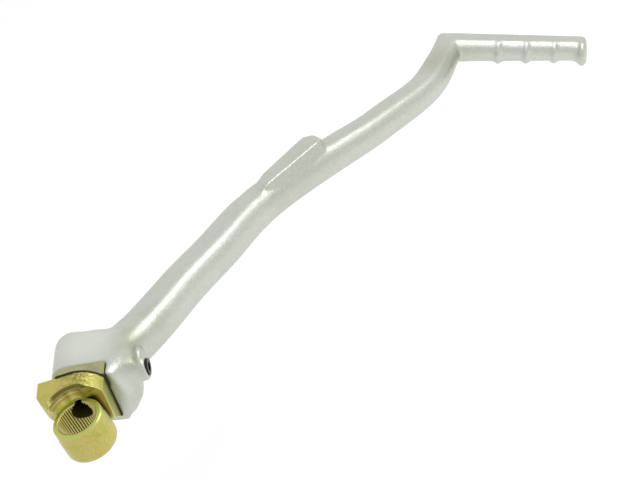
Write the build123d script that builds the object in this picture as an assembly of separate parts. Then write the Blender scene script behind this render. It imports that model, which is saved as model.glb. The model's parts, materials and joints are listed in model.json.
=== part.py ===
from build123d import *
import math
import os

# Kick start lever for an off-road motorbike, drawn stowed.
# Row frame, millimetres: the origin is the centre of the serrated bore at the engine-side end of
# the knuckle. +Z runs out along the bore, +Y is the swivel axis towards the hub, +X is the side
# that the folded arm lies on. Heights h are counted from the running gap between flange and hub.

# Knuckle barrel and bore
BARREL_LENGTH = 17.4
BARREL_R = 12.0
BARREL_END_FILLET = 3.2
TURNED_LENGTH = 5.5
TURNED_SLOPE = 0.6
TURNED_R_FACE = 11.6
TURNED_R_BACK = 11.8
SERRATION_COUNT = 48
SERRATION_TIP_R = 8.6
SERRATION_DEPTH = 0.65
PILOT_LENGTH = 2.5
MOUTH_BEVEL = 0.5
MOUTH_SPREAD = 0.25
RIM_CHAMFER = 0.45

# Knuckle flange, measured from the swivel axis
GAP_Y = 19.1
PIVOT_BACK_FROM_FACE = 4.35
FLANGE_THICKNESS = 8.3
FLANGE_FRONT = 13.0
FLANGE_LEFT = 16.0
FLANGE_ARC_START = -1.5
FLANGE_ARC_BULGE = 2.3
FLANGE_SHOULDER = 5.6
FLANGE_SHOULDER_OUT = 0.9
FLANGE_RIGHT = 11.4
FLANGE_BACK = 18.6
FLANGE_BACK_RIGHT = 9.1
FLANGE_BACK_LEFT = 3.0
FLANGE_WAIST = (-11.5, 9.0)
FLANGE_SIDE_END = 2.0
LUG_STEP = 1.1
LUG_STEP_FROM = 1.4
LUG_STEP_BACK = 9.8
LUG_TIP = 0.8
LUG_TIP_Z = -5.4
LUG_ROOT_Y = 8.2
LUG_ROOT_Z = 3.8
BELLY_LOW = 3.8
BELLY_KNEE = 6.4
BELLY_KNEE_IN = 1.9
BELLY_FOOT_IN = 5.0
BELLY_EDGE = 0.6
BELLY_INNER = 2.0
BELLY_NOSE_BACK = 1.0
BELLY_NOSE_FOOT = 3.4
BELLY_REACH_BACK = 5.4
SPOTFACE_R = 11.2
SPOTFACE_LENGTH = 6.3
SPOTFACE_CONE_R = 12.9
SPOTFACE_CONE_LENGTH = 1.8
SPOTFACE_RIM_R = 14.4
SPOTFACE_RIM_LENGTH = 1.0

# Swivel post and what turns on it
POST_R = 6.0
POST_HOLE_R = 2.2
CROSS_HOLE_R = 4.6
CROSS_HOLE_ROOF = 2.0
RUNNING_FIT = 0.05
SLIP_FIT = 0.02
BUSH_WALL = 1.15
SEAL_THICKNESS = 0.7
SEAL_LIP = 0.5
SEAL_TRIM_R = 15.2
SEAL_TAIL_LEFT = 5.0
END_PLAY = 0.1
SEAL_RING_SECTION = 1.1
SEAL_RING_H = 22.0
SEAL_RING_PLAY = 0.1
SWING_ANGLE = 110.0

# Hub of the lever, in its own frame turned about the swivel axis
HUB_TURN = 10.0
HUB_HEIGHT = 34.4
HUB_R = 15.1
HUB_FRONT = 9.2
HUB_TOP_FILLET = 6.5
HUB_FLARE_H = 7.5
HUB_SHOULDER_H = 13.5
HUB_NARROW_H = 25.0
NOTCH_HEIGHT = 8.4
NOTCH_RIGHT = 11.4
NOTCH_DEPTH = 7.6
RECESS_DEPTH = 4.6

# Detent in the side of the hub
DETENT_H = 10.0
BALL_R = 2.5
BALL_HOLE_CLEARANCE = 0.12
TRACK_DEPTH = 1.2
TRACK_CLEARANCE = 0.1
PLUG_R = 3.8
PLUG_LENGTH = 7.0
PLUG_HEX = 4.0
PLUG_HEX_DEPTH = 3.5
BOSS_REACH = 28.9
BOSS_R = 6.0
BOSS_PROFILE = [
    (-0.7, 6.0),
    (-0.7, 4.3),
    (-0.2, 3.4),
    (0.0, 2.4),
    (0.0, 1.6),
    (-0.5, 0.6),
    (-1.4, 0.0),
]
SPOT_DEPTH = 4.5
SPOT_R = 8.6

# Cheek that carries the hub's side out to the boss: its sections' shares of that way, then their
# lowest and highest h, how far they stand back and out from the boss's centre, corner radius
CHEEK_SHARES = [0.451, 0.779, 1.0]
CHEEK_SECTIONS = [
    (4.6, 25.0, 10.0, 9.2, 4.0),
    (3.6, 22.5, 9.5, 8.2, 5.5),
    (4.2, 18.6, 7.8, 6.7, 5.7),
]
SPRING_WIRE_R = 0.35
SPRING_R = 1.75
SPRING_TURNS = 5
SPRING_SEAT = 0.75

# Retaining washer and circlip on the spigot at the end of the post
SPIGOT_R = 4.2
WASHER_THICKNESS = 1.2
WASHER_GAP = 0.1
CIRCLIP_THICKNESS = 1.0
CIRCLIP_GROOVE_DEPTH = 0.5
CIRCLIP_R = 5.7
CIRCLIP_GAP = 2.4
CIRCLIP_LUG_R = 0.95
CIRCLIP_HOLE_R = 0.45
POST_TIP = 1.0
POST_CHAMFER = 0.5

# Arm and foot peg, in the plane that holds the swivel axis
ARM_TURN = 22.0
FLAT_SHARE = 0.78
FLAT_SKIM = 0.06
CORNER_REACH = 166.6
CORNER_H = 240.3
CORNER_R = 7.4
CORNER_RUN = 7.0
CORNER_ANGLE = 72.3
PEG_ROLL = 17.0
PEG_FALL = 2.1
PEG_STRAIGHT = 6.0
PEG_R_END = 6.35
PEG_END = 235.0
RIDGE_COUNT = 3
RIDGE_FROM_END = 16.2
RIDGE_PITCH = 13.9
RIDGE_WIDTH = 3.6
RIDGE_RISE = 1.7
RIDGE_SIDE = 39.0
RIDGE_PROFILE_SHARES = [
    (0.0, 0.0),
    (0.12, 0.35),
    (0.3, 0.85),
    (0.5, 1.0),
    (0.7, 0.85),
    (0.88, 0.35),
    (1.0, 0.0),
]
COLLAR_WIDTH = 8.8
COLLAR_RISE = 3.0
COLLAR_PROFILE_SHARES = [
    (0.0, 0.0),
    (0.3, 0.15),
    (0.5, 0.5),
    (0.62, 0.92),
    (0.72, 1.0),
    (0.84, 0.9),
    (0.94, 0.63),
    (1.0, 0.15),
]
COLLAR_NOSE = 1.6

# Centre line of the arm as shares of the corner's reach and height, then the bar's half width
# and the roll of its flat side at each of those places
ARM_SHARES = [
    (0.0540, 0.0599),
    (0.0804, 0.1007),
    (0.1092, 0.1303),
    (0.1381, 0.1590),
    (0.2179, 0.2534),
    (0.3025, 0.3508),
    (0.3884, 0.4524),
    (0.4352, 0.5031),
    (0.4844, 0.5460),
    (0.5324, 0.5818),
    (0.6261, 0.6467),
    (0.7191, 0.7079),
    (0.8121, 0.7753),
    (0.8836, 0.8294),
    (0.9304, 0.8739),
    (0.9598, 0.9172),
    (0.9778, 0.9530),
]
ARM_HALF_WIDTHS = [
    9.8,
    11.9,
    11.7,
    11.3,
    10.9,
    10.6,
    10.4,
    10.2,
    10.0,
    9.8,
    9.5,
    9.2,
    8.9,
    8.6,
    8.4,
    8.1,
    7.5,
]
ARM_ROLL_ANGLES = [
    28.0,
    28.0,
    28.0,
    28.0,
    28.0,
    28.0,
    28.0,
    28.0,
    28.0,
    28.0,
    28.0,
    28.0,
    26.0,
    24.0,
    22.0,
    20.0,
    18.0,
]

# Raised pad on the outer side of the arm, between two shares of the corner's reach. Its profile is
# a share of its own length and a height above the arm's centre line
PAD_FROM_SHARE = 0.4562
PAD_TO_SHARE = 0.6206
PAD_BASE = 4.0
PAD_UPPER = 5.0
PAD_LOWER = 7.0
PAD_PROFILE_SHARES = [-0.14, -0.05, 0.02, 0.1, 0.3, 0.6, 0.85, 0.97, 1.03, 1.06]
PAD_HEIGHTS = [7.4, 8.6, 10.6, 11.6, 12.4, 13.0, 13.3, 12.6, 10.6, 7.0]

# Cutting tools reach this far past what they cut, and blocks that only trim are this large
SPARE = 2.0
CUTTER = 30.0

PIVOT_Z = BARREL_LENGTH - PIVOT_BACK_FROM_FACE
SIDE_VIEW = Plane(origin=(0, 0, 0), x_dir=(0, 0, 1), z_dir=(-1, 0, 0))
BUSH_BORE_R = POST_R + RUNNING_FIT
BUSH_R = BUSH_BORE_R + BUSH_WALL
HUB_BOTTOM_H = SEAL_THICKNESS + END_PLAY
BUSH_TOP_H = HUB_HEIGHT - RECESS_DEPTH
WASHER_H = BUSH_TOP_H + END_PLAY
CIRCLIP_H = WASHER_H + WASHER_THICKNESS
POST_TOP_H = CIRCLIP_H + CIRCLIP_THICKNESS + POST_TIP
BALL_AT = POST_R - TRACK_DEPTH + BALL_R
PLUG_INNER = BOSS_REACH - PLUG_LENGTH


def turned_plane(h, turn):
    """Horizontal sketch plane at height h, its x turned about the swivel axis, its y inwards."""
    a = math.radians(turn)
    return Plane(origin=(0, GAP_Y + h, PIVOT_Z), x_dir=(math.cos(a), 0, -math.sin(a)), z_dir=(0, 1, 0))


def outline_face(plane, corners, radii):
    """Closed outline on a plane, each corner rounded by its own radius."""
    wire = FilletPolyline(*corners, radius=radii, close=True)
    return plane * make_face(wire)


def rod(plane, radius, length):
    """Round bar that stands on a plane."""
    return plane * Cylinder(radius, length, align=(Align.CENTER, Align.CENTER, Align.MIN))


def upright(h, radius, length):
    """Round bar on the swivel axis."""
    return rod(turned_plane(h, 0), radius, length)


def side_plane(reach):
    """Plane square to the detent's axis, at a distance from the swivel axis, facing outwards."""
    a = math.radians(HUB_TURN)
    x, z = math.cos(a), -math.sin(a)
    origin = (reach * x, GAP_Y + DETENT_H, PIVOT_Z + reach * z)
    return Plane(origin=origin, x_dir=(0, 1, 0), z_dir=(x, 0, z))


def make_barrel():
    """Turned and forged barrel, made by one turned profile about the bore's axis."""
    crease = BARREL_LENGTH - TURNED_LENGTH
    face = BARREL_LENGTH
    points = [
        (0, 0),
        (BARREL_R, 0),
        (BARREL_R, crease - TURNED_SLOPE),
        (TURNED_R_BACK, crease),
        (TURNED_R_FACE, face - RIM_CHAMFER),
        (TURNED_R_FACE - RIM_CHAMFER, face),
        (0, face),
    ]
    profile = Plane.XZ * make_face(Polyline(*points, close=True))
    barrel = revolve(profile, Axis.Z, 360)
    edge = barrel.edges().filter_by(GeomType.CIRCLE).sort_by(Axis.Z)[0]
    return fillet(edge, BARREL_END_FILLET)


def flange_outline(grow=0.0):
    """Outline of the flange on its own plane, seen from the hub, x out and y inwards."""
    front = FLANGE_FRONT + grow
    left = FLANGE_LEFT + grow
    right = FLANGE_RIGHT + grow
    back = FLANGE_BACK + grow
    corner = Vector(right + FLANGE_SHOULDER_OUT, -FLANGE_SHOULDER)
    start = Vector(FLANGE_ARC_START, -front)
    square = Vector(corner.Y - start.Y, start.X - corner.X).normalized()
    middle = (start + corner) * 0.5 + square * FLANGE_ARC_BULGE
    arc = ThreePointArc((start.X, start.Y), (middle.X, middle.Y), (corner.X, corner.Y))
    rest = Polyline(
        (corner.X, corner.Y),
        (right, LUG_STEP_FROM),
        (right - LUG_STEP, LUG_STEP_BACK),
        (FLANGE_BACK_RIGHT + grow, back),
        (-FLANGE_BACK_LEFT, back),
        FLANGE_WAIST,
        (-left, FLANGE_SIDE_END),
        (-left, -front),
        (start.X, start.Y),
    )
    return make_face(Wire([arc] + list(rest.edges())))


def make_flange():
    """Flange with its belly on the left and the thinner lug at the back."""
    plane = turned_plane(-FLANGE_THICKNESS, 0)
    flange = extrude(plane * flange_outline(), amount=FLANGE_THICKNESS, dir=(0, 1, 0))
    under = Polyline(
        (-CUTTER, GAP_Y - LUG_TIP),
        (LUG_TIP_Z, GAP_Y - LUG_TIP),
        (LUG_ROOT_Z, LUG_ROOT_Y),
        (LUG_ROOT_Z, -CUTTER),
        (-CUTTER, -CUTTER),
        close=True,
    )
    wedge = extrude(SIDE_VIEW * make_face(under), amount=CUTTER, both=True)
    core = Cylinder(BARREL_R, 2 * BARREL_LENGTH)
    return flange - (wedge - core)


def make_belly():
    """Forged belly that carries the flange's left end down to the barrel."""
    bottom = GAP_Y - FLANGE_THICKNESS
    top = bottom + FLANGE_THICKNESS / 4
    front = PIVOT_Z + FLANGE_FRONT
    back = BARREL_LENGTH - BELLY_REACH_BACK
    across = Polyline(
        (-FLANGE_LEFT, top),
        (-FLANGE_LEFT, bottom - BELLY_EDGE),
        (-FLANGE_LEFT + BELLY_KNEE_IN, BELLY_KNEE),
        (-FLANGE_LEFT + BELLY_FOOT_IN, BELLY_LOW),
        (-BELLY_INNER, BELLY_LOW),
        (-BELLY_INNER, top),
        close=True,
    )
    along = Polyline(
        (front, top),
        (front, bottom),
        (front - BELLY_NOSE_BACK, BELLY_KNEE),
        (front - BELLY_NOSE_FOOT, BELLY_LOW),
        (BARREL_LENGTH, BELLY_KNEE),
        (back, bottom),
        (back, top),
        close=True,
    )
    across_solid = extrude(Plane.XY * make_face(across), amount=front)
    along_solid = extrude(SIDE_VIEW * make_face(along), amount=FLANGE_LEFT)
    return across_solid & along_solid


def make_spotface():
    """Round seat cut around the end of the barrel for the bolt's washer, with its two bevels."""
    z1 = BARREL_LENGTH + SPOTFACE_LENGTH
    z2 = z1 + SPOTFACE_CONE_LENGTH
    z3 = z2 + SPOTFACE_RIM_LENGTH
    points = [
        (0, BARREL_LENGTH),
        (SPOTFACE_R, BARREL_LENGTH),
        (SPOTFACE_R, z1),
        (SPOTFACE_CONE_R, z2),
        (SPOTFACE_RIM_R, z3),
        (0, z3),
    ]
    return revolve(Plane.XZ * make_face(Polyline(*points, close=True)), Axis.Z, 360)


def serration_cut():
    """Star-shaped bore: straight teeth from the pilot land to the outer face."""
    points = []
    for i in range(2 * SERRATION_COUNT):
        a = math.pi * i / SERRATION_COUNT
        r = SERRATION_TIP_R + (SERRATION_DEPTH if i % 2 else 0.0)
        points.append((r * math.cos(a), r * math.sin(a)))
    star = make_face(Polyline(*points, close=True))
    return Pos(0, 0, PILOT_LENGTH) * extrude(star, amount=BARREL_LENGTH)


def detent_track():
    """Groove round the post that the ball runs in, with a pocket for each end of the swing."""
    a = math.radians(HUB_TURN)
    centre = Vector(math.cos(a), 0, -math.sin(a)) * BALL_AT
    radius = BALL_R + TRACK_CLEARANCE
    origin = (centre.X, GAP_Y + DETENT_H, PIVOT_Z + centre.Z)
    plane = Plane(origin=origin, z_dir=(math.sin(a), 0, math.cos(a)))
    axis = Axis((0, 0, PIVOT_Z), (0, -1, 0))
    groove = revolve(plane * Circle(radius), axis, SWING_ANGLE)
    for turn in (HUB_TURN, HUB_TURN - SWING_ANGLE):
        t = math.radians(turn)
        at = (BALL_AT * math.cos(t), GAP_Y + DETENT_H, PIVOT_Z - BALL_AT * math.sin(t))
        groove += Pos(*at) * Sphere(radius)
    return groove


def make_knuckle():
    """Forged steel knuckle: barrel, flange and hollow swivel post in one piece."""
    body = make_barrel() + make_flange() + make_belly()
    body -= make_spotface()
    body += upright(-FLANGE_THICKNESS, POST_R, FLANGE_THICKNESS + WASHER_H)
    body += upright(WASHER_H, SPIGOT_R, POST_TOP_H - WASHER_H)
    top_edge = body.edges().filter_by(GeomType.CIRCLE).sort_by(Axis.Y)[-1]
    body = chamfer(top_edge, POST_CHAMFER)
    body -= Cylinder(SERRATION_TIP_R, 2 * BARREL_LENGTH + 2 * SPARE)
    body -= serration_cut()
    body -= Pos(0, 0, BARREL_LENGTH - MOUTH_BEVEL) * Cone(
        SERRATION_TIP_R,
        SERRATION_TIP_R + SERRATION_DEPTH + MOUTH_SPREAD,
        MOUTH_BEVEL,
        align=(Align.CENTER, Align.CENTER, Align.MIN),
    )
    body -= upright(-GAP_Y, CROSS_HOLE_R, GAP_Y - CROSS_HOLE_ROOF)
    body -= upright(-GAP_Y, POST_HOLE_R, GAP_Y + POST_TOP_H + SPARE)
    groove = upright(CIRCLIP_H, SPIGOT_R + SPARE, CIRCLIP_THICKNESS)
    groove -= upright(CIRCLIP_H, SPIGOT_R - CIRCLIP_GROOVE_DEPTH, CIRCLIP_THICKNESS)
    body -= groove
    body -= seal_ring_groove()
    return body - detent_track()


def seal_ring_groove():
    """Square groove in the post for the seal ring."""
    width = SEAL_RING_SECTION + 2 * SEAL_RING_PLAY
    low = SEAL_RING_H - width / 2
    bottom_r = BUSH_BORE_R - RUNNING_FIT - SEAL_RING_SECTION
    return upright(low, POST_R + SPARE, width) - upright(low, bottom_r, width)


def make_seal_ring():
    """Square-cut rubber ring in the post's groove that keeps the grease in."""
    outer = BUSH_BORE_R - SLIP_FIT
    low = SEAL_RING_H - SEAL_RING_SECTION / 2
    ring = upright(low, outer, SEAL_RING_SECTION)
    return ring - upright(low, outer - SEAL_RING_SECTION, SEAL_RING_SECTION)


def make_dust_seal():
    """Thin rubber seal on top of the flange, a little larger than the flange and trimmed at the left."""
    plane = turned_plane(0, 0)
    seal = extrude(plane * flange_outline(SEAL_LIP), amount=SEAL_THICKNESS, dir=(0, 1, 0))
    trim = upright(0, SEAL_TRIM_R, SEAL_THICKNESS)
    tail = Box(CUTTER, 4 * SEAL_THICKNESS, CUTTER)
    tail = Pos(CUTTER / 2 - SEAL_TAIL_LEFT, GAP_Y, PIVOT_Z - CUTTER / 2) * tail
    return seal & (trim + tail) - upright(0, BUSH_BORE_R, SEAL_THICKNESS)


# Outline of the hub at three levels: x, y and corner radius, in the hub's own frame
HUB_LOW = [
    (-HUB_R, -HUB_FRONT, 9.4),
    (NOTCH_RIGHT, -HUB_FRONT, 0.5),
    (14.9, -7.6, 1.5),
    (18.1, 4.0, 7.0),
    (16.4, 13.0, 7.0),
    (13.3, 21.2, 2.0),
    (-4.0, 19.5, 7.0),
    (-HUB_R, 9.0, 7.0),
]
HUB_HIGH = [
    (-HUB_R, -HUB_FRONT, 9.4),
    (NOTCH_RIGHT, -HUB_FRONT, 0.5),
    (17.4, -7.8, 2.0),
    (23.2, 1.0, 7.0),
    (23.0, 13.5, 7.0),
    (16.5, 23.5, 4.0),
    (-4.0, 19.8, 7.0),
    (-HUB_R, 9.0, 7.0),
]
HUB_TOP = [
    (-HUB_R, -HUB_FRONT, 9.4),
    (10.8, -HUB_FRONT, 5.0),
    (15.4, -4.0, 5.0),
    (15.0, 12.0, 7.0),
    (11.5, 19.5, 5.0),
    (-4.0, 19.3, 7.0),
    (-HUB_R, 9.0, 7.0),
]


def hub_face(points, h):
    """One level of the hub's outline."""
    corners = [(x, y) for x, y, _ in points]
    radii = [r for _, _, r in points]
    return outline_face(turned_plane(h, HUB_TURN), corners, radii)


def make_hub():
    """Hub block: flared at the bottom of its right side, drawn in again above, rounded on top."""
    low = hub_face(HUB_LOW, HUB_BOTTOM_H)
    wide = hub_face(HUB_HIGH, HUB_FLARE_H)
    wide_top = hub_face(HUB_HIGH, HUB_SHOULDER_H)
    narrow = hub_face(HUB_TOP, HUB_NARROW_H)
    hub = loft([low, wide], ruled=True)
    hub += extrude(wide, amount=HUB_SHOULDER_H - HUB_FLARE_H, dir=(0, 1, 0))
    hub += loft([wide_top, narrow], ruled=True)
    tower = extrude(hub_face(HUB_TOP, HUB_FLARE_H), amount=HUB_HEIGHT - HUB_FLARE_H, dir=(0, 1, 0))
    top = tower.faces().sort_by(Axis.Y)[-1]
    return hub + fillet(top.edges(), HUB_TOP_FILLET)


def arm_point(reach, h):
    """Point in the arm's plane from the distance to the swivel axis and the height h."""
    a = math.radians(ARM_TURN)
    return Vector(reach * math.cos(a), GAP_Y + h, PIVOT_Z - reach * math.sin(a))


def arm_normal():
    """Direction square to the arm's plane, pointing outwards."""
    a = math.radians(ARM_TURN)
    return Vector(math.sin(a), 0, math.cos(a))


def rolled_plane(point, direction, roll):
    """Section plane: its normal runs along the bar and its y points out of the bar's flat."""
    along = direction.normalized()
    upper = arm_normal().cross(along)
    r = math.radians(roll)
    flat = arm_normal() * math.cos(r) + upper * math.sin(r)
    return Plane(origin=point, x_dir=flat.cross(along), z_dir=along)


def flat_sided_section(plane, half_width, share=FLAT_SHARE):
    """Round section with one flat side: a chord and the arc that closes it."""
    drop = half_width * share
    half_chord = half_width * math.sqrt(1 - share ** 2)
    chord = Line((-half_chord, drop), (half_chord, drop))
    arc = ThreePointArc((half_chord, drop), (0, -half_width), (-half_chord, drop))
    return plane * make_face(Wire([chord, arc]))


def in_plane(angle):
    """Direction in the arm's plane, at an angle to the peg's side, in degrees."""
    a = math.radians(angle)
    return (arm_point(math.cos(a), math.sin(a)) - arm_point(0, 0)).normalized()


def arm_centre(i):
    """Point on the arm's centre line at a section."""
    reach_share, h_share = ARM_SHARES[i]
    return arm_point(CORNER_REACH * reach_share, CORNER_H * h_share)


def arm_direction(i):
    """Direction of the arm's centre line at a section."""
    return arm_centre(min(i + 1, len(ARM_SHARES) - 1)) - arm_centre(max(i - 1, 0))


def corner_start():
    """Section plane where the arm's straight run into the corner begins."""
    direction = in_plane(CORNER_ANGLE)
    start = arm_point(CORNER_REACH, CORNER_H) - direction * CORNER_RUN
    return rolled_plane(start, direction, PEG_ROLL)


def make_arm():
    """Arm forged in one sweep of flat-sided sections from the hub to the corner."""
    sections = []
    for i, half_width in enumerate(ARM_HALF_WIDTHS):
        plane = rolled_plane(arm_centre(i), arm_direction(i), ARM_ROLL_ANGLES[i])
        sections.append(flat_sided_section(plane, half_width))
    sections.append(flat_sided_section(corner_start(), CORNER_R))
    return loft(sections)


def make_corner():
    """Mitred corner: arm and peg both run to the plane midway between their directions."""
    halfway = in_plane(CORNER_ANGLE) + in_plane(-PEG_FALL)
    mitre = Plane(origin=arm_point(CORNER_REACH, CORNER_H), z_dir=halfway)
    reach = 3 * CORNER_R
    rising = extrude(flat_sided_section(corner_start(), CORNER_R), amount=CORNER_RUN + reach)
    level = flat_sided_section(peg_plane(CORNER_REACH - reach), CORNER_R)
    level = extrude(level, amount=reach + PEG_STRAIGHT)
    rising = split(rising, bisect_by=mitre, keep=Keep.BOTTOM)
    level = split(level, bisect_by=mitre, keep=Keep.TOP)
    return rising + level


def peg_plane(reach):
    """Section plane of the foot peg."""
    along = in_plane(-PEG_FALL)
    point = arm_point(CORNER_REACH, CORNER_H) + along * (reach - CORNER_REACH)
    return rolled_plane(point, along, PEG_ROLL)


def peg_radius(reach):
    """Half width of the peg at a reach."""
    start = CORNER_REACH + PEG_STRAIGHT
    return CORNER_R + (PEG_R_END - CORNER_R) * (reach - start) / (PEG_END - start)


def make_peg():
    """Foot peg with its flat upper side, slight taper, grip ridges and end collar."""
    start = CORNER_REACH + PEG_STRAIGHT
    nose = PEG_END - COLLAR_NOSE
    peg = loft([
        flat_sided_section(peg_plane(start), CORNER_R),
        flat_sided_section(peg_plane(nose), peg_radius(nose)),
    ])
    for i in range(RIDGE_COUNT):
        reach = PEG_END - RIDGE_FROM_END - i * RIDGE_PITCH
        peg += ridge(reach - RIDGE_WIDTH / 2, RIDGE_WIDTH, RIDGE_RISE, RIDGE_PROFILE_SHARES)
    peg += ridge(PEG_END - COLLAR_WIDTH, COLLAR_WIDTH, COLLAR_RISE, COLLAR_PROFILE_SHARES)
    length = PEG_END - start
    taper = math.degrees(math.atan((CORNER_R - PEG_R_END) * FLAT_SHARE / length))
    flat_at = CORNER_R * FLAT_SHARE - FLAT_SKIM
    above = Pos(0, flat_at + CUTTER / 2, length / 2) * Box(CUTTER, CUTTER, 2 * length)
    return peg - peg_plane(start) * Rot(taper, 0, 0) * above


def ridge(reach, width, rise, shape):
    """Ring round the peg, set off so that it is flush on the upper side."""
    r = peg_radius(reach + width)
    crest = [(r + rise * (up - 0.5), width * share) for share, up in shape]
    profile = Polyline((0, 0), *crest, (0, width), close=True)
    ring = revolve(Plane.XZ * make_face(profile), Axis.Z, 360)
    a = math.radians(RIDGE_SIDE)
    shift = Pos(-math.sin(a) * rise / 2, -math.cos(a) * rise / 2, 0)
    return peg_plane(reach) * shift * ring


def make_pad():
    """Raised pad on the outer side of the arm's middle: a long ramp with a blunt end."""
    start = arm_at(PAD_FROM_SHARE)
    along = arm_at(PAD_TO_SHARE) - start
    plane = rolled_plane(start, along, ARM_ROLL_ANGLES[0])
    side = Plane(origin=start, x_dir=plane.z_dir, z_dir=plane.x_dir * -1)
    points = [(along.length * share, height) for share, height in zip(PAD_PROFILE_SHARES, PAD_HEIGHTS)]
    slab = make_face(Polyline((points[0][0], PAD_BASE), *points, (points[-1][0], PAD_BASE), close=True))
    upper = extrude(side * slab, amount=PAD_UPPER)
    lower = extrude(side * slab, amount=-PAD_LOWER)
    return upper + lower


def arm_at(reach_share):
    """Point on the arm's centre line at a share of the corner's reach."""
    for before, after in zip(ARM_SHARES, ARM_SHARES[1:]):
        if before[0] <= reach_share <= after[0]:
            part = (reach_share - before[0]) / (after[0] - before[0])
            h_share = before[1] + (after[1] - before[1]) * part
            return arm_point(CORNER_REACH * reach_share, CORNER_H * h_share)
    raise ValueError("share is off the arm")


def notch_box(depth, grow=0.0):
    """Block that fills the notch under the front of the hub."""
    plane = turned_plane(HUB_BOTTOM_H - grow, HUB_TURN)
    height = NOTCH_HEIGHT - HUB_BOTTOM_H + grow
    width = NOTCH_RIGHT + HUB_R + SPARE
    block = Box(width, depth + SPARE, height, align=(Align.MAX, Align.MIN, Align.MIN))
    return plane * Pos(NOTCH_RIGHT, -HUB_FRONT - SPARE, 0) * block


def make_bush():
    """Steel bush pressed into the hub, with a foot that fills the notch."""
    foot = notch_box(NOTCH_DEPTH) & extrude(
        hub_face(HUB_LOW, HUB_BOTTOM_H), amount=NOTCH_HEIGHT, dir=(0, 1, 0)
    )
    tube = upright(HUB_BOTTOM_H, BUSH_R, BUSH_TOP_H - HUB_BOTTOM_H)
    bush = foot + tube
    bush -= upright(0, BUSH_BORE_R, BUSH_TOP_H + SPARE)
    return bush - rod(side_plane(0), BALL_R + BALL_HOLE_CLEARANCE, BOSS_REACH)


def cheek_section(reach, low, high, behind, front, radius):
    """Rounded rectangle square to the detent's axis."""
    corners = [
        (low - DETENT_H, -behind),
        (high - DETENT_H, -behind),
        (high - DETENT_H, front),
        (low - DETENT_H, front),
    ]
    return outline_face(side_plane(reach), corners, radius)


def make_cheek():
    """Smooth mass between the hub's front, the arm's root and the boss."""
    end = BOSS_REACH - SPOT_DEPTH
    return loft([cheek_section(end * share, *sizes) for share, sizes in zip(CHEEK_SHARES, CHEEK_SECTIONS)])


def make_boss():
    """Boss round the detent's plug: a short swelling, rounded at its end."""
    points = [(BOSS_R + grow, BOSS_REACH - back) for grow, back in BOSS_PROFILE]
    foot = points[0][1]
    profile = Polyline((0, foot), *points, (0, BOSS_REACH), close=True)
    return side_plane(0) * revolve(Plane.XZ * make_face(profile), Axis.Z, 360)


def make_lever():
    """Aluminium lever forged in one piece: hub, arm, pad, corner and foot peg."""
    lever = make_hub() + make_arm() + make_corner() + make_peg() + make_pad()
    lever += make_cheek()
    lever -= rod(side_plane(BOSS_REACH - SPOT_DEPTH), SPOT_R, SPOT_DEPTH + SPARE)
    lever += make_boss()
    lever -= notch_box(NOTCH_DEPTH, grow=SPARE)
    lever -= upright(0, BUSH_R, HUB_HEIGHT + SPARE)
    lever -= rod(side_plane(0), BALL_R + BALL_HOLE_CLEARANCE, BOSS_REACH)
    lever -= rod(side_plane(PLUG_INNER), PLUG_R, PLUG_LENGTH + SPARE)
    return lever


def make_washer():
    """Thrust washer over the bush's end, held against the post's shoulder."""
    disc = upright(WASHER_H, BUSH_R - WASHER_GAP, WASHER_THICKNESS)
    return disc - upright(WASHER_H, SPIGOT_R + WASHER_GAP, WASHER_THICKNESS)


def make_circlip():
    """External circlip with its gap and two lugs."""
    ring = Circle(CIRCLIP_R) - Circle(SPIGOT_R - CIRCLIP_GROOVE_DEPTH + SLIP_FIT)
    ring -= Pos(0, CIRCLIP_R, 0) * Rectangle(CIRCLIP_GAP, 2 * CIRCLIP_R)
    for side in (-1, 1):
        lug_at = Pos(side * (CIRCLIP_GAP / 2 + CIRCLIP_LUG_R), CIRCLIP_R - CIRCLIP_LUG_R / 2, 0)
        ring = ring + lug_at * Circle(CIRCLIP_LUG_R) - lug_at * Circle(CIRCLIP_HOLE_R)
    return extrude(turned_plane(CIRCLIP_H, 0) * ring, amount=CIRCLIP_THICKNESS, dir=(0, 1, 0))


def make_ball():
    """Detent ball in its hole, seated in the post's track."""
    return side_plane(BALL_AT) * Sphere(BALL_R)


def make_spring():
    """Coil spring between the ball and the plug."""
    start = BALL_AT + BALL_R * SPRING_SEAT + SPRING_WIRE_R
    length = PLUG_INNER - SPRING_WIRE_R - start
    path = Helix(length / SPRING_TURNS, length, SPRING_R)
    profile = Plane(origin=path @ 0, z_dir=path % 0) * Rectangle(2 * SPRING_WIRE_R, 2 * SPRING_WIRE_R)
    coil = sweep(profile, path, is_frenet=True)
    return side_plane(start) * coil


def make_plug():
    """Set screw with a hexagon socket that holds the spring in."""
    plug = rod(side_plane(PLUG_INNER), PLUG_R - SLIP_FIT, PLUG_LENGTH)
    socket = extrude(RegularPolygon(PLUG_HEX / math.sqrt(3), 6), amount=PLUG_HEX_DEPTH + SPARE)
    return plug - side_plane(BOSS_REACH - PLUG_HEX_DEPTH) * socket


def write(node, shape):
    """One STEP file for each node."""
    export_step(shape, os.path.join("parts", node + ".step"))


def main():
    os.makedirs("parts", exist_ok=True)
    write("knuckle", make_knuckle())
    write("dust_seal", make_dust_seal())
    write("pivot_seal_ring", make_seal_ring())
    write("pivot_bush", make_bush())
    write("lever_arm", make_lever())
    write("thrust_washer", make_washer())
    write("circlip", make_circlip())
    write("detent_ball", make_ball())
    write("detent_spring", make_spring())
    write("detent_plug", make_plug())


if __name__ == "__main__":
    main()
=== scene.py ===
import json
import math

import bmesh
import bpy
import numpy as np
from mathutils import Matrix, Vector


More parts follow.
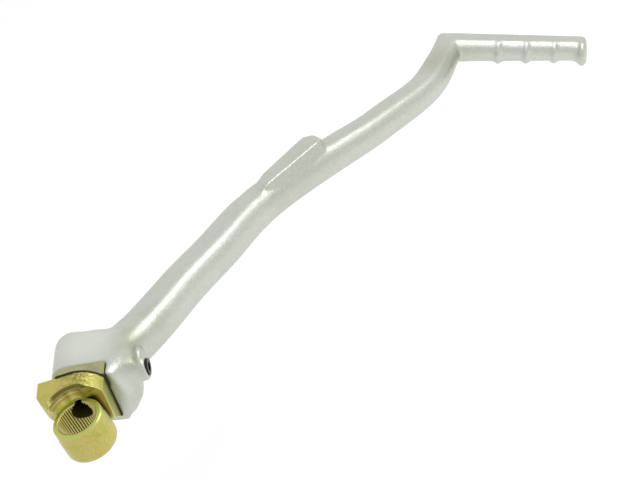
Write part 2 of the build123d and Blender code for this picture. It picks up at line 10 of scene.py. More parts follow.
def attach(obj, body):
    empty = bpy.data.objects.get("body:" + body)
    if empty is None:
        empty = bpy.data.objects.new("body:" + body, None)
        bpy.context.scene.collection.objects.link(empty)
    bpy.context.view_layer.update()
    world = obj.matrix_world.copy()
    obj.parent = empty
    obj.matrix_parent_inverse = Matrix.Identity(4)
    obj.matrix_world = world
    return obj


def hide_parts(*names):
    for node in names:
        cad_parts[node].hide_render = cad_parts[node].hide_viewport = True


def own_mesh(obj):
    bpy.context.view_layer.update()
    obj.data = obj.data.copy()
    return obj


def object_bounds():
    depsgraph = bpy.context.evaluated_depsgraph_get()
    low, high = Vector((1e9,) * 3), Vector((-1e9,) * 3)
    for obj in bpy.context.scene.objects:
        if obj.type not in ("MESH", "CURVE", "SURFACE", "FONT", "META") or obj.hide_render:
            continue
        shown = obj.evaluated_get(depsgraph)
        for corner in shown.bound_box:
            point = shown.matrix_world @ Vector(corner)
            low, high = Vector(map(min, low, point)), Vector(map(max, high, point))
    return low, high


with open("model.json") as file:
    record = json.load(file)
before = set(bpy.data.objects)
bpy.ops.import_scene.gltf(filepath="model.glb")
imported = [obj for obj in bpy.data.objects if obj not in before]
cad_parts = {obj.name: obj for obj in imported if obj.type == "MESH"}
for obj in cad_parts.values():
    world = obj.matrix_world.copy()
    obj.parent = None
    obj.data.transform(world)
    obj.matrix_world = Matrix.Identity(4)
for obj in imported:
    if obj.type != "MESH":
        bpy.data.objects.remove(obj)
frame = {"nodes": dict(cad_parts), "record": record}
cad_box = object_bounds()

MM = 0.001

# Camera of the photograph, in the row frame
CAMERA_AT = Vector((429.298, -827.390, 757.441)) * MM
CAMERA_RIGHT = Vector((0.92025, 0.00139, -0.39133))
CAMERA_UP = Vector((0.28978, 0.66963, 0.68383))
CAMERA_BACK = Vector((0.26300, -0.74270, 0.61582))
CAMERA_LENS = 155.25
CAMERA_SENSOR = 36.0
CAMERA_REACH = 20.0

# Places on the part, in millimetres: the gap plane, the swivel axis, the ring's outer face
GAP_Y = 19.1
PIVOT_Z = 13.05
FACE_Z = 17.4
# Turns round the swivel axis, in degrees
HUB_TURN = 10.0
ARM_TURN = 22.0


def from_plane(turn, reach, h, out):
    """Point in the row frame from one in a plane turned round the swivel axis, in millimetres."""
    a = math.radians(turn)
    x, z = math.cos(a), -math.sin(a)
    return np.array([reach * x - out * z, GAP_Y + h, PIVOT_Z + reach * z + out * x])


def in_arm(reach, h, out=0.0):
    """Point given in the arm's plane."""
    return from_plane(ARM_TURN, reach, h, out)


def in_hub(reach, h, out=0.0):
    """Point given in the hub's plane."""
    return from_plane(HUB_TURN, reach, h, out)


def make_camera():
    data = bpy.data.cameras.new("camera")
    data.lens = CAMERA_LENS
    data.sensor_width = CAMERA_SENSOR
    data.clip_end = CAMERA_REACH
    camera = bpy.data.objects.new("camera", data)
    columns = (CAMERA_RIGHT, CAMERA_UP, CAMERA_BACK)
    turn = Matrix([[c[i] for c in columns] for i in range(3)])
    camera.matrix_world = Matrix.Translation(CAMERA_AT) @ turn.to_4x4()
    bpy.context.scene.collection.objects.link(camera)
    bpy.context.scene.camera = camera


make_camera()
bpy.context.scene.view_settings.view_transform = "Standard"


# Materials

class Nodes:
    """Short way to build one material's node tree."""

    def __init__(self, name):
        self.material = bpy.data.materials.new(name)
        self.material.use_nodes = True
        self.tree = self.material.node_tree
        self.shader = self.tree.nodes["Principled BSDF"]
        self.object_place = None

    def add(self, kind, inputs=None, **settings):
        node = self.tree.nodes.new(kind)
        for key, value in settings.items():
            setattr(node, key, value)
        for key, value in (inputs or {}).items():
            self.set(node.inputs[key], value)
        return node

    def set(self, socket, value):
        if isinstance(value, bpy.types.NodeSocket):
            self.tree.links.new(value, socket)
        else:
            socket.default_value = value

    def math(self, operation, a, b=0.0):
        return self.add("ShaderNodeMath", {0: a, 1: b}, operation=operation).outputs[0]

    def times(self, a, b):
        return self.math("MULTIPLY", a, b)

    def vector(self, operation, a, b, out=0):
        return self.add("ShaderNodeVectorMath", {0: a, 1: b}, operation=operation).outputs[out]

    def place(self):
        """Object coordinates in millimetres."""
        if self.object_place is None:
            coordinates = self.add("ShaderNodeTexCoord").outputs["Object"]
            self.object_place = self.vector("MULTIPLY", coordinates, (1.0 / MM,) * 3)
        return self.object_place

    def xyz(self):
        return self.add("ShaderNodeSeparateXYZ", {0: self.place()}).outputs

    def radius(self, a, b):
        """Length of two values taken as the sides of a right angle."""
        return self.math("SQRT", self.math("ADD", self.times(a, a), self.times(b, b)))

    def noise(self, size, detail=3.0, rough=0.5, stretch=(1.0, 1.0, 1.0), warp=0.0):
        """Noise whose features are about size millimetres across."""
        inputs = {
            "Vector": self.vector("MULTIPLY", self.place(), [s / size for s in stretch]),
            "Scale": 1.0,
            "Detail": detail,
            "Roughness": rough,
            "Distortion": warp,
        }
        return self.add("ShaderNodeTexNoise", inputs).outputs["Fac"]

    def ramp(self, value, stops):
        """Colour that follows a value; a stop's colour may be one number, for a grey."""
        node = self.add("ShaderNodeValToRGB", {"Fac": value})
        ramp = node.color_ramp
        while len(ramp.elements) < len(stops):
            ramp.elements.new(0.5)
        for element, (at, colour) in zip(ramp.elements, stops):
            element.position = at
            if isinstance(colour, (int, float)):
                colour = (colour, colour, colour)
            element.color = (*colour, 1.0)
        return node.outputs["Color"]

    def span(self, value, low, high, to_low=0.0, to_high=1.0):
        """A value from one range to another, held at its ends."""
        inputs = {
            "Value": value, "From Min": low, "From Max": high, "To Min": to_low, "To Max": to_high,
        }
        return self.add("ShaderNodeMapRange", inputs).outputs[0]

    def within(self, value, low, high, edge=0.08):
        """1 between two limits, 0 outside."""
        above = self.span(value, low - edge, low + edge)
        below = self.span(value, high - edge, high + edge, 1.0, 0.0)
        return self.times(above, below)

    def spot(self, centre, radius):
        """1 round a place in millimetres, falling to 0 at the radius."""
        away = self.vector("DISTANCE", self.place(), tuple(float(c) for c in centre), out=1)
        return self.span(away, 0.25 * radius, radius, 1.0, 0.0)

    def mix(self, factor, a, b, blend="MIX"):
        """Colour between a and b."""
        node = self.add("ShaderNodeMix", data_type="RGBA", blend_type=blend)
        self.set(node.inputs[0], factor)
        for socket, colour in ((node.inputs[6], a), (node.inputs[7], b)):
            self.set(socket, colour if isinstance(colour, bpy.types.NodeSocket) else (*colour, 1.0))
        return node.outputs[2]

    def shade(self, colour, value, stops):
        """The colour, multiplied by a ramp of a value."""
        return self.mix(1.0, colour, self.ramp(value, stops), "MULTIPLY")

    def blend(self, factor, a, b):
        """Number between a and b."""
        node = self.add("ShaderNodeMix", data_type="FLOAT")
        self.set(node.inputs[0], factor)
        self.set(node.inputs[2], a)
        self.set(node.inputs[3], b)
        return node.outputs[0]

    def bump(self, height, depth, strength=1.0, normal=None):
        """Bump whose full height is depth millimetres."""
        inputs = {"Height": height, "Distance": depth * MM, "Strength": strength}
        if normal is not None:
            inputs["Normal"] = normal
        return self.add("ShaderNodeBump", inputs).outputs[0]

    def rounded(self, radius):
        """Normal of a surface whose edges are rounded, and how near an edge is."""
        normal = self.add("ShaderNodeBevel", {"Radius": radius * MM}, samples=6).outputs[0]
        flat = self.add("ShaderNodeNewGeometry").outputs["Normal"]
        near = self.math("SUBTRACT", 1.0, self.vector("DOT_PRODUCT", normal, flat, out=1))
        return normal, near

    def open_air(self, reach):
        """1 where a surface is open, less in corners and recesses."""
        inputs = {"Distance": reach * MM}
        return self.add("ShaderNodeAmbientOcclusion", inputs, samples=8).outputs["AO"]

    def finish(self, **values):
        """Sets the shader's sockets and gives the material."""
        for key, value in values.items():
            self.set(self.shader.inputs[key.replace("_", " ")], value)
        return self.material


# Painted shade: spots where the blasted surface is coloured duller and greener, to stand for shade
# in hollows and to dim highlights: centre, radius in millimetres, amount
PAINTED_SHADE_TINT = (0.36, 0.38, 0.27)
PAINTED_SHADE_PLACES = [
    (in_hub(18.5, 19.0, 8.0), 11.0, 0.42),
    (in_hub(24.5, 13.5, 4.5), 5.0, 0.40),
    (in_hub(22.8, 8.6, 6.4), 5.5, 0.85),
    (in_hub(24.0, 22.0, 6.0), 7.0, 0.45),
    (in_arm(28.0, 39.0, 9.0), 10.0, 0.22),
    (in_hub(23.5, 27.0, 7.0), 8.0, 0.55),
    (in_arm(161.0, 221.0, 7.0), 15.0, 0.40),
    (in_arm(100.0, 138.0, 8.0), 18.0, 0.16),
    (in_arm(84.0, 122.0, 6.0), 14.0, 0.14),
]
# Painted light: open faces coloured paler, to stand for the light that falls on them
PAINTED_LIGHT_TINT = (0.72, 0.74, 0.68)
PAINTED_LIGHT_PLACES = [
    (in_hub(1.0, 21.0, 8.0), 18.0, 0.75),
    (in_hub(19.5, 1.0, 0.0), 9.0, 0.45),
]
# Painted shade in corners and valleys, from fine to broad: reach in millimetres, range of openness,
# amount, tint
ALUMINIUM_PAINTED_CREASE_SHADE = (2.2, 0.50, 0.92, 0.75, (0.27, 0.29, 0.21))
ALUMINIUM_PAINTED_HOLLOW_SHADE = [
    (9.0, 0.35, 0.95, 0.6, (0.42, 0.45, 0.33)),
    (28.0, 0.45, 0.95, 0.6, (0.46, 0.49, 0.37)),
]
ALUMINIUM_WORN = (0.84, 0.85, 0.84)


# Painted light and shade: mixes a tint into the colour round each listed spot
def paint_light_and_shade_spots(m, colour, places, tint):
    for centre, radius, amount in places:
        colour = m.mix(m.times(m.spot(centre, radius), amount), colour, tint)
    return colour


# Painted shade: darkens the colour where the surface is less open, in corners and recesses
def paint_hollow_shade(m, colour, reach, low, high, amount, tint):
    return m.mix(m.span(m.open_air(reach), low, high, amount, 0.0), colour, tint)


def aluminium():
    """Forged and shot-blasted aluminium: pale green-grey, finely grained, worn on its edges, with
    painted shade in creases, hollows and chosen spots and painted light on open faces.
    """
    m = Nodes("forged_aluminium")
    broad = m.noise(30.0, detail=2.0)
    fine = m.noise(2.4, detail=3.0, rough=0.6)
    grain = m.noise(0.85, detail=2.0, rough=0.7)
    colour = m.ramp(broad, [(0.3, (0.585, 0.605, 0.535)), (0.7, (0.625, 0.638, 0.580))])
    colour = m.shade(colour, fine, [(0.35, 0.95), (0.65, 1.0)])
    colour = m.shade(colour, grain, [(0.32, (0.86, 0.87, 0.84)), (0.68, 1.0)])
    # Painted shade in creases, spots and hollows, and painted light on open faces
    colour = paint_hollow_shade(m, colour, *ALUMINIUM_PAINTED_CREASE_SHADE)
    colour = paint_light_and_shade_spots(m, colour, PAINTED_SHADE_PLACES, PAINTED_SHADE_TINT)
    colour = paint_light_and_shade_spots(m, colour, PAINTED_LIGHT_PLACES, PAINTED_LIGHT_TINT)
    for hollow_shade in ALUMINIUM_PAINTED_HOLLOW_SHADE:
        colour = paint_hollow_shade(m, colour, *hollow_shade)
    worn = m.span(m.add("ShaderNodeNewGeometry").outputs["Pointiness"], 0.53, 0.62)
    colour = m.mix(m.times(worn, 0.5), colour, ALUMINIUM_WORN)
    rough = m.span(grain, 0.3, 0.7, 0.34, 0.48)
    normal = m.bump(fine, 0.10, 0.6, m.bump(grain, 0.14))
    return m.finish(Base_Color=colour, Metallic=1.0, Roughness=rough, Normal=normal)


# Zones of the knuckle in millimetres: ranges of radius round the bore, then of height
TEETH_R = (8.4, 9.32)
TEETH_Z = (2.3, FACE_Z - 0.5)
TOOTH_TIP_R = 8.58
TOOTH_ROOT_R = 9.25
OUTSIDE_R = (9.35, 9.5)
RING_R = (9.3, 11.6)
RING_Z = (FACE_Z - 0.25, FACE_Z + 0.1)
SEAT_R = (11.0, 11.35)
SEAT_START_Z = (FACE_Z + 0.1, FACE_Z + 0.3)
SEAT_HEIGHT = 6.3
SEAT_X = (-8.5, 5.5)
CONE_R = (11.45, 12.75)
CONE_Z = (FACE_Z + 6.4, FACE_Z + 8.0)
CONE_START_X = (-10.5, -8.5)
# The greased hole across the post's foot: range of its wall's radius round the post, range of Y
HOLE_R = (4.55, 4.72)
HOLE_Y = (3.0, 17.6)
# Where the flange keeps its rough forging
FORGED_Z = (FACE_Z + 4.0, FACE_Z + 8.0)
FORGED_X = (-9.0, 3.0)

ZINC_PATCHES = [
    (0.28, (0.46, 0.49, 0.105)),
    (0.44, (0.57, 0.52, 0.140)),
    (0.60, (0.62, 0.51, 0.165)),
    (0.76, (0.51, 0.55, 0.150)),
]
# Painted shade in the knuckle's recesses
ZINC_PAINTED_RECESS_SHADE = (0.045, 0.040, 0.008)
# Pale edges: partly worn bare plate, partly a painted highlight
ZINC_WORN_AND_GLINT = (0.95, 0.92, 0.74)
# Painted reflections on the turned seat: bright and dark bands from the ring up, and a painted sheen
# from the left to the right
SEAT_REFLECTION_BANDS = [
    (0.0, (0.70, 0.55, 0.06)),
    (0.20, (1.0, 1.0, 0.20)),
    (0.42, (1.0, 0.98, 0.40)),
    (0.60, (0.86, 0.58, 0.12)),
    (0.78, (1.0, 0.95, 0.45)),
    (1.0, (0.45, 0.34, 0.08)),
]
SEAT_PAINTED_SHEEN = [
    (0.0, (0.80, 0.80, 0.60)),
    (0.18, 1.0),
    (0.36, (0.62, 0.55, 0.38)),
    (0.50, (1.0, 1.0, 0.95)),
    (0.70, (0.66, 0.58, 0.36)),
    (0.92, (0.22, 0.19, 0.10)),
]
# Painted shade on the cone above the seat
CONE_PAINTED_SHADE = (0.085, 0.080, 0.018)
# Painted highlight on the tips and painted shade in the roots
TOOTH_LIGHT_AND_SHADE = [
    (0.0, (1.0, 0.94, 0.50)),
    (0.45, (0.78, 0.68, 0.22)),
    (0.85, (0.050, 0.040, 0.008)),
]
RING_TINT = (0.50, 0.60, 0.13)
PIT_TINT = (0.20, 0.17, 0.03)
# The hole's wall: near black, partly as grease and partly as painted shade inside the hole, with
# lighter glossy specks of grease
HOLE_GREASE_AND_SHADE = (0.0008, 0.0009, 0.0006)
GREASE_SPECK = (0.20, 0.20, 0.11)


def worn_and_glinting_edge(m, near, bore, recess_shade):
    """How pale the edges are coloured, partly as worn bare plate and partly as a painted highlight:
    fine on every edge, broader outside the bore, none in recesses.
    """
    _, broad = m.rounded(0.55)
    fine = m.span(near, 0.015, 0.12, 0.0, 0.9)
    broad = m.times(m.span(bore, *OUTSIDE_R), m.span(broad, 0.02, 0.14, 0.0, 0.95))
    return m.times(m.math("MAXIMUM", fine, broad), m.math("SUBTRACT", 1.0, recess_shade))


def seat_painted_reflections(m, x, z):
    """Painted reflections on the polished, turned seat above the ring, over its turning marks."""
    colour = m.ramp(m.span(z, FACE_Z, FACE_Z + SEAT_HEIGHT), SEAT_REFLECTION_BANDS)
    marks = m.noise(0.5, detail=2.0, stretch=(0.05, 0.05, 1.0))
    colour = m.shade(colour, marks, [(0.3, 0.6), (0.7, 1.0)])
    return m.shade(colour, m.span(x, *SEAT_X), SEAT_PAINTED_SHEEN)


def yellow_zinc():
    """Yellow zinc plate on the knuckle, told apart by place: teeth, greased hole, polished seat;
    with painted shade in recesses, on the cone, in the tooth roots and in the hole, and painted
    highlights on edges, tooth tips and the seat.
    """
    m = Nodes("yellow_zinc")
    x, y, z = m.xyz()
    bore = m.radius(x, y)
    post = m.radius(x, m.math("SUBTRACT", z, PIVOT_Z))
    fine = m.noise(1.3, detail=3.0, rough=0.6)
    grain = m.noise(0.3, detail=2.0)
    rough = m.span(fine, 0.3, 0.7, 0.28, 0.44)
    normal, near = m.rounded(0.28)

    colour = m.ramp(m.noise(9.0, detail=3.0, warp=0.4), ZINC_PATCHES)
    colour = m.shade(colour, fine, [(0.3, (0.80, 0.82, 0.78)), (0.7, 1.0)])
    # Painted shade: near-black colour in recesses, by how open the surface is
    recess_shade = m.span(m.open_air(3.0), 0.30, 0.85, 0.85, 0.0)
    colour = m.mix(recess_shade, colour, ZINC_PAINTED_RECESS_SHADE)
    colour = m.mix(worn_and_glinting_edge(m, near, bore, recess_shade), colour, ZINC_WORN_AND_GLINT)

    # Painted reflections and sheen on the seat, with little metal so that they show
    seat = m.times(m.within(bore, *SEAT_R), m.span(z, *SEAT_START_Z))
    colour = m.mix(seat, colour, seat_painted_reflections(m, x, z))
    rough = m.blend(seat, rough, 0.22)
    metal = m.blend(seat, 1.0, 0.15)
    # Painted shade on the cone
    cone_shade = m.times(m.within(bore, *CONE_R, 0.15), m.within(z, *CONE_Z, 0.1))
    cone_shade = m.times(cone_shade, m.span(x, *CONE_START_X))
    colour = m.mix(m.times(cone_shade, 0.85), colour, CONE_PAINTED_SHADE)

    # Teeth: painted highlight on the tips, painted shade in the roots
    teeth = m.times(m.within(bore, *TEETH_R), m.within(z, *TEETH_Z))
    colour = m.mix(teeth, colour, m.ramp(m.span(bore, TOOTH_TIP_R, TOOTH_ROOT_R), TOOTH_LIGHT_AND_SHADE))
    metal = m.blend(teeth, metal, 0.4)
    ring = m.times(m.within(bore, *RING_R, 0.05), m.within(z, *RING_Z, 0.05))
    colour = m.mix(m.times(ring, 0.6), colour, RING_TINT)

    forged = m.times(m.span(z, *FORGED_Z), m.span(x, *FORGED_X))
    scale = m.noise(1.5, detail=3.0, rough=0.65)
    pits = m.times(forged, m.span(scale, 0.42, 0.56, 0.75, 0.0))
    colour = m.mix(pits, colour, PIT_TINT)

    # Greased hole, painted near black: partly grease and partly painted shade inside it
    hole = m.times(m.span(post, *HOLE_R, 1.0, 0.0), m.within(y, *HOLE_Y))
    speck = m.span(m.noise(0.7, detail=2.0, rough=0.7), 0.58, 0.66)
    colour = m.mix(hole, colour, m.mix(speck, HOLE_GREASE_AND_SHADE, GREASE_SPECK))
    rough = m.blend(hole, rough, m.blend(speck, 0.9, 0.25))

    normal = m.bump(grain, 0.03, 0.8, normal)
    normal = m.bump(fine, 0.12, 0.5, normal)
    normal = m.bump(m.times(forged, scale), 0.8, 0.7, normal)
    return m.finish(Base_Color=colour, Metallic=metal, Roughness=rough, Normal=normal)


def khaki_zinc():
    """Duller zinc plate on the bush's foot."""
    m = Nodes("khaki_zinc")
    fine = m.noise(1.0, detail=3.0, rough=0.6)
    broad = m.noise(5.0, detail=2.0)
    colour = m.ramp(broad, [(0.3, (0.38, 0.37, 0.20)), (0.7, (0.52, 0.49, 0.29))])
    colour = m.shade(colour, fine, [(0.3, 0.82), (0.7, 1.0)])
    normal, near = m.rounded(0.2)
    colour = m.mix(m.span(near, 0.02, 0.2, 0.0, 0.5), colour, (0.80, 0.78, 0.64))
    rough = m.span(fine, 0.3, 0.7, 0.36, 0.5)
    normal = m.bump(fine, 0.06, 0.6, normal)
    return m.finish(Base_Color=colour, Metallic=1.0, Roughness=rough, Normal=normal)


def rubber():
    """Matt black rubber."""
    m = Nodes("black_rubber")
    fine = m.noise(0.8, detail=3.0)
    colour = m.ramp(fine, [(0.3, (0.008, 0.008, 0.008)), (0.7, (0.020, 0.020, 0.018))])
    rough = m.span(fine, 0.3, 0.7, 0.55, 0.75)
    return m.finish(Base_Color=colour, Roughness=rough, Normal=m.bump(fine, 0.04, 0.6))


def steel(name, low, high, rough):
    """Plain steel with a fine grain, between two colours."""
    m = Nodes(name)
    fine = m.noise(0.6, detail=3.0)
    colour = m.ramp(m.noise(5.0), [(0.3, low), (0.7, high)])
    roughness = m.span(fine, 0.3, 0.7, rough - 0.06, rough + 0.06)
    normal, _ = m.rounded(0.12)
    normal = m.bump(fine, 0.02, 0.6, normal)
    return m.finish(Base_Color=colour, Metallic=1.0, Roughness=roughness, Normal=normal)


MATERIALS = {
    "forged_aluminium": aluminium(),
    "yellow_zinc": yellow_zinc(),
    "khaki_zinc": khaki_zinc(),
    "black_rubber": rubber(),
    "washer_steel": steel("washer_steel", (0.42, 0.41, 0.38), (0.55, 0.54, 0.50), 0.35),
    "spring_steel": steel("spring_steel", (0.05, 0.05, 0.05), (0.09, 0.09, 0.09), 0.38),
    "bearing_steel": steel("bearing_steel", (0.62, 0.62, 0.62), (0.70, 0.70, 0.70), 0.12),
    "black_oxide": steel("black_oxide", (0.020, 0.020, 0.018), (0.05, 0.048, 0.040), 0.36),
}


def set_material(piece, name):
    piece.data.materials.clear()
    piece.data.materials.append(MATERIALS[name])


for part in frame["record"]["subparts"]:
    set_material(frame["nodes"][part["node"]], part["material_slot"])


# Tools for the pieces

def link(name, mesh):
    piece = bpy.data.objects.new(name, mesh)
    bpy.context.scene.collection.objects.link(piece)
    return piece


def stand_in(name, node, body):
    """A copy of a CAD node's mesh that is shown in its place."""
    piece = link(name, frame["nodes"][node].data.copy())
    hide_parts(node)
    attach(piece, body)
    return piece


def bake(piece):
    """Applies the piece's modifiers."""
    bpy.context.view_layer.update()
    depsgraph = bpy.context.evaluated_depsgraph_get()
    mesh = bpy.data.meshes.new_from_object(piece.evaluated_get(depsgraph))
    piece.modifiers.clear()
    piece.data = mesh


def points_of(piece):
    """The mesh's vertices in millimetres."""
    places = np.empty(len(piece.data.vertices) * 3)
    piece.data.vertices.foreach_get("co", places)
    return places.reshape(-1, 3) / MM


def move_points(piece, places):
    """Puts the mesh's vertices at places in millimetres."""
    piece.data.vertices.foreach_set("co", (places * MM).ravel())
    piece.data.update()


def ramp_up(value, low, high):
    return np.clip((value - low) / (high - low), 0.0, 1.0)


def voxel(piece):
    """Makes the piece one even skin."""
    remesh = piece.modifiers.new("remesh", "REMESH")
    remesh.mode = "VOXEL"
    remesh.voxel_size = VOXEL * MM
    bake(piece)


def smooth_round(piece, rounds, weights=None):
    """Smooths the piece, as much at each vertex as its weight says, in tenths."""
    modifier = piece.modifiers.new("smooth", "SMOOTH")
    modifier.factor = 0.5
    modifier.iterations = rounds
    if weights is not None:
        group = piece.vertex_groups.new(name="melt")
        for level in range(1, 11):
            chosen = np.nonzero(np.round(weights * 10) == level)[0]
            group.add([int(i) for i in chosen], level / 10, "REPLACE")
        modifier.vertex_group = "melt"
    bake(piece)
    piece.vertex_groups.clear()


def melt(piece, places):
    """Smooths the piece round some places, each with its radius and rounds."""
    for centre, radius, rounds in places:
        away = np.linalg.norm(points_of(piece) - centre, axis=1)
        smooth_round(piece, rounds, np.clip(1.4 * (1.0 - away / radius), 0.0, 1.0))


def add_block(piece, corners):
    """Adds the hull of some corners, given in millimetres."""
    mesh = bmesh.new()
    mesh.from_mesh(piece.data)
    verts = [mesh.verts.new(Vector(corner) * MM) for corner in corners]
    made = bmesh.ops.convex_hull(mesh, input=verts)
    inner = [g for g in made["geom_interior"] if isinstance(g, bmesh.types.BMVert)]
    bmesh.ops.delete(mesh, geom=inner, context="VERTS")
    mesh.to_mesh(piece.data)
    mesh.free()


# The forged lever, in millimetres

VOXEL = 0.62
# Rounds of smoothing: after each remesh, and along the arm
SKIN_ROUNDS = 8
LAST_ROUNDS = 5
ARM_ROUNDS = 110
# Heights over the gap plane between which the arm's smoothing comes in, and goes out at the peg
ARM_FROM = (34.0, 48.0)
ARM_TO = (214.0, 226.0)
# Places where the forging flows from one form to the next: centre, radius, rounds
MELTS = [
    (in_hub(15.0, 30.0, 6.0), 22.0, 260),
    (in_hub(20.5, 27.0, 6.0), 16.0, 320),
    (in_hub(20.0, 14.0, 6.0), 14.0, 160),
    (in_hub(-8.0, 27.0, 2.0), 9.0, 160),
    (in_hub(4.0, 36.0, 0.0), 12.0, 60),
    (in_arm(164.0, 238.0, 0.0), 11.0, 40),
]

# The pad's own axes, from the arm's centre line at its start: along the arm, across, out
PAD_START = in_arm(76.0, 125.3)
PAD_AXES = np.array([
    in_arm(0.45997, 0.88794, 0.0) - in_arm(0.0, 0.0),
    in_arm(0.77987, -0.40399, 0.47812) - in_arm(0.0, 0.0),
    in_arm(-0.42454, 0.21992, 0.87830) - in_arm(0.0, 0.0),
])
# Top corners of the pad, then its ramp and its foot, on those axes
PAD_BLOCK = [
    (-0.5, 8.0, 9.4), (35.7, 15.6, 7.0), (39.1, 14.8, 6.8),
    (42.7, 8.3, 6.8), (41.8, 2.7, 7.2), (9.0, 0.2, 9.9),
    (-5.0, 5.5, 7.6), (-2.0, -3.0, 7.4),
    (4.0, 9.3, 2.5), (21.0, 14.0, -2.5), (35.0, 17.0, -5.5), (41.0, 15.6, -4.0),
    (44.5, 9.0, -3.0), (43.0, 1.5, 0.0), (4.0, -2.0, 4.0),
]
PAD_MELTS = [
    ((-3.0, 3.0, 7.0), 7.0, 30),
    ((6.0, 10.0, 2.0), 7.0, 40),
    ((21.0, 14.5, -2.5), 8.0, 40),
    ((34.0, 17.5, -5.5), 8.0, 40),
]
# The solid's own pad lies in these ranges, over a flat that falls along the arm
OLD_PAD_ALONG = (-9.0, 47.0)
OLD_PAD_ACROSS = 25.0
FLAT_OUT = 7.9
FLAT_FALL = 0.15

# Oval swelling beside the detent's boss: its centre and half sizes in the hub's plane
SWELLING_AT = (25.0, 13.2, 2.0)
SWELLING_SIZE = (2.9, 7.2, 5.8)
SWELLING_STEPS = (12, 16)
# Point of the hub's skirt, below the detent's boss
SKIRT_POINT = [
    in_hub(14.3, 0.9, -21.4), in_hub(11.0, 0.9, -17.5), in_hub(15.0, 1.0, -14.0),
    in_hub(17.6, 3.0, -15.0), in_hub(18.4, 5.0, -17.6), in_hub(16.0, 8.0, -19.5),
    in_hub(12.0, 8.0, -17.0),
]

# The sprung detent: height of its axis, radius that its hole keeps for the ball, and the plug's
# inner end
DETENT_H = 10.0
BALL_HOLE_R = 2.85
PLUG_INNER = 21.9
# Part of the hole that is kept clear, along its axis, and the least radius that is told apart
HOLE_FROM = 3.0
HOLE_TO = PLUG_INNER - 1.0
LEAST_R = 0.05
HUB_AXES = np.array([in_hub(*step) - in_hub(0.0, 0.0) for step in np.eye(3)])


def pad_point(corner):
    return PAD_START + np.array(corner) @ PAD_AXES


def lower_old_pad(piece):
    """Brings the solid's pad down to the arm's flat, to make room for the wider block."""
    places = points_of(piece)
    local = (places - PAD_START) @ PAD_AXES.T
    along, across, out = local.T
    flat = FLAT_OUT - FLAT_FALL * np.clip(along, 0.0, None)
    over = (along > OLD_PAD_ALONG[0]) & (along < OLD_PAD_ALONG[1])
    over &= (np.abs(across) < OLD_PAD_ACROSS) & (out > flat)
    local[over, 2] = flat[over]
    places[over] = PAD_START + local[over] @ PAD_AXES
    move_points(piece, places)


def swelling(centre, size):
    """Corners of an oval swelling in the hub's plane."""
    rings, sides = SWELLING_STEPS
    corners = []
    for i in range(1, rings):
        across = math.pi * i / rings
        for j in range(sides):
            turn = 2.0 * math.pi * j / sides
            corners.append(in_hub(
                centre[0] + size[0] * math.sin(across) * math.cos(turn),
                centre[1] + size[1] * math.cos(across),
                centre[2] + size[2] * math.sin(across) * math.sin(turn),
            ))
    return corners


def clear_ball_hole(piece):
    """Keeps the detent's hole wide enough for the ball's travel, because smoothing narrows it."""
    middle = in_hub(0.0, DETENT_H)
    local = (points_of(piece) - middle) @ HUB_AXES.T
    radius = np.maximum(np.hypot(local[:, 1], local[:, 2]), LEAST_R)
    inside = (local[:, 0] > HOLE_FROM) & (local[:, 0] < HOLE_TO) & (radius < BALL_HOLE_R)
    local[inside, 1:] *= (BALL_HOLE_R / radius[inside])[:, None]
    move_points(piece, middle + local @ HUB_AXES)


def forged_lever():
    """The lever with its junctions melted together, in place of its CAD node."""
    piece = stand_in("forged_lever", "lever_arm", "lever")
    lower_old_pad(piece)
    voxel(piece)
    smooth_round(piece, SKIN_ROUNDS)
    h = points_of(piece)[:, 1] - GAP_Y
    smooth_round(piece, ARM_ROUNDS, ramp_up(h, *ARM_FROM) * (1.0 - ramp_up(h, *ARM_TO)))
    melt(piece, MELTS)
    add_block(piece, [pad_point(corner) for corner in PAD_BLOCK])
    add_block(piece, swelling(SWELLING_AT, SWELLING_SIZE))
    add_block(piece, SKIRT_POINT)
    voxel(piece)
    smooth_round(piece, LAST_ROUNDS)
    melt(piece, [(pad_point(place), radius, rounds) for place, radius, rounds in PAD_MELTS])
    clear_ball_hole(piece)
    piece.data.shade_smooth()
    set_material(piece, "forged_aluminium")


# The other pieces

SHARP_ANGLE = 30.0


def smooth_copy(name, node, slot, body):
    """A CAD node with its curved faces shaded smooth."""
    piece = stand_in(name, node, body)
    piece.data.shade_smooth()
    piece.data.set_sharp_from_angle(angle=math.radians(SHARP_ANGLE))
    set_material(piece, slot)
    return piece


forged_lever()
smooth_copy("plated_knuckle", "knuckle", "yellow_zinc", "knuckle")
smooth_copy("plated_bush", "pivot_bush", "khaki_zinc", "lever")
coil = smooth_copy("detent_coil", "detent_spring", "spring_steel", "lever")
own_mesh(coil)


# Studio, in metres and watts

MIDDLE = Vector((0.10, 0.14, -0.02))
PEG_AT = Vector(in_arm(195.0, 238.0, 0.0)) * MM
LAMP_COLOUR = (0.93, 0.955, 1.0)
# A little brighter from the swivel's side than from the ring's
WORLD_STRENGTH = (0.87, 0.99)
FLOOR_HALF = 6.0
FLOOR_DROP = 0.06
FLOOR_COLOUR = (0.90, 0.90, 0.90, 1.0)
FLOOR_GLOW = 0.12


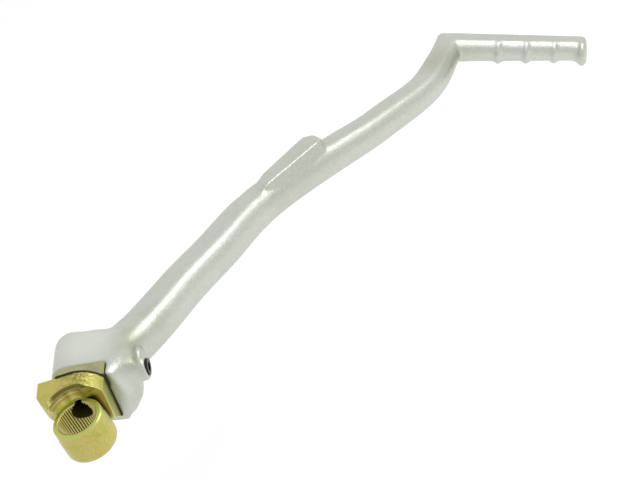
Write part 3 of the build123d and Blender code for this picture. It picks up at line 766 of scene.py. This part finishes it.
def area_light(name, aim, way, distance, size, power):
    """Lamp that stands off a place, in a direction given in the camera's frame."""
    data = bpy.data.lights.new(name, "AREA")
    data.shape = "RECTANGLE"
    data.size, data.size_y = size
    data.energy = power
    data.color = LAMP_COLOUR
    lamp = bpy.data.objects.new(name, data)
    lamp.visible_camera = False
    right, up, back = way
    away = (CAMERA_RIGHT * right + CAMERA_UP * up + CAMERA_BACK * back).normalized()
    at = aim + away * distance
    facing = (at - aim).to_track_quat("Z", "Y").to_matrix().to_4x4()
    lamp.matrix_world = Matrix.Translation(at) @ facing
    bpy.context.scene.collection.objects.link(lamp)


def make_world():
    """White world that rises a little towards +Y."""
    world = bpy.data.worlds.new("studio")
    world.use_nodes = True
    bpy.context.scene.world = world
    tree = world.node_tree
    background = tree.nodes["Background"]
    background.inputs["Color"].default_value = (1.0, 1.0, 1.0, 1.0)
    way = tree.nodes.new("ShaderNodeSeparateXYZ")
    tree.links.new(tree.nodes.new("ShaderNodeTexCoord").outputs["Generated"], way.inputs[0])
    strength = tree.nodes.new("ShaderNodeMapRange")
    strength.inputs["To Min"].default_value = WORLD_STRENGTH[0]
    strength.inputs["To Max"].default_value = WORLD_STRENGTH[1]
    tree.links.new(way.outputs["Y"], strength.inputs["Value"])
    tree.links.new(strength.outputs[0], background.inputs["Strength"])


def make_floor():
    """Pale floor that shows as white to the camera and keeps the object's shadow."""
    mesh = bpy.data.meshes.new("floor")
    half = FLOOR_HALF
    z = cad_box[0][2] - FLOOR_DROP
    corners = [(-half, -half, z), (half, -half, z), (half, half, z), (-half, half, z)]
    mesh.from_pydata(corners, [], [(0, 1, 2, 3)])
    floor = link("floor", mesh)
    m = Nodes("floor")
    path = m.add("ShaderNodeLightPath").outputs
    seen = m.math("MAXIMUM", path["Is Camera Ray"], path["Is Glossy Ray"])
    m.finish(
        Base_Color=FLOOR_COLOUR,
        Roughness=0.9,
        Specular_IOR_Level=0.0,
        Emission_Color=(1.0, 1.0, 1.0, 1.0),
        Emission_Strength=m.times(seen, FLOOR_GLOW),
    )
    mesh.materials.append(m.material)


area_light("key", MIDDLE, (0.20, 0.90, 0.40), 0.9, (0.34, 0.26), 0.85)
area_light("front", PEG_AT, (-0.03, 0.56, 0.83), 0.34, (0.24, 0.15), 0.44)
make_world()
make_floor()
